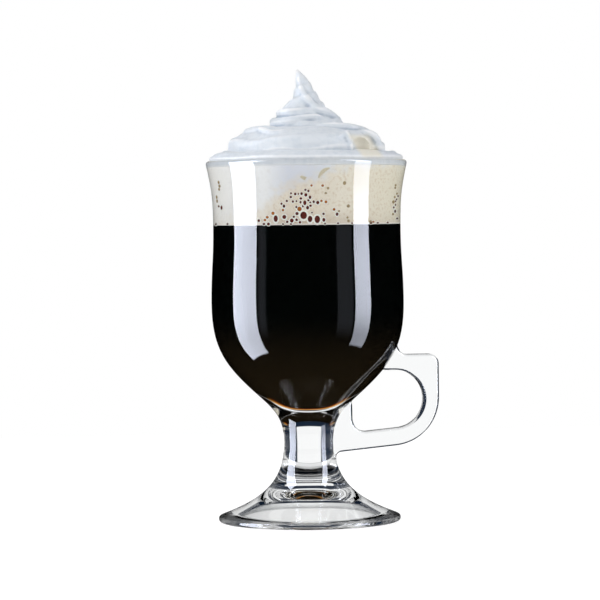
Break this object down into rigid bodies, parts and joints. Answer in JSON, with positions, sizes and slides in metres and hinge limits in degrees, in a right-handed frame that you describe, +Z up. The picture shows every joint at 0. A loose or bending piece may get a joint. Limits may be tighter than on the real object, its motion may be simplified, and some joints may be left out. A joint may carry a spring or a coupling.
{
  "type": "irish coffee glass mug",
  "caption": "Footed glass mug with a low side handle, filled with coffee, foam and a swirl of whipped cream.",
  "frame": {"origin": "centre of the foot's standing ring, on the plane that the mug stands on", "axes": "+Z up along the axis of the glass, +X towards the handle, +Y to the back"},
  "size_m": [0.0926, 0.0802, 0.1804],
  "materials": {
    "clear_glass": "clear, fire-polished",
    "coffee": "dark liquid",
    "milk_foam": "fine wet foam",
    "whipped_cream": "soft, moist"
  },
  "bodies": {
    "root": {"bowl": "clear_glass", "stem": "clear_glass", "foot": "clear_glass", "handle": "clear_glass", "coffee": "coffee", "foam_head": "milk_foam", "cream_bed": "whipped_cream", "cream_swirl": "whipped_cream"}
  },
  "joints": []
}
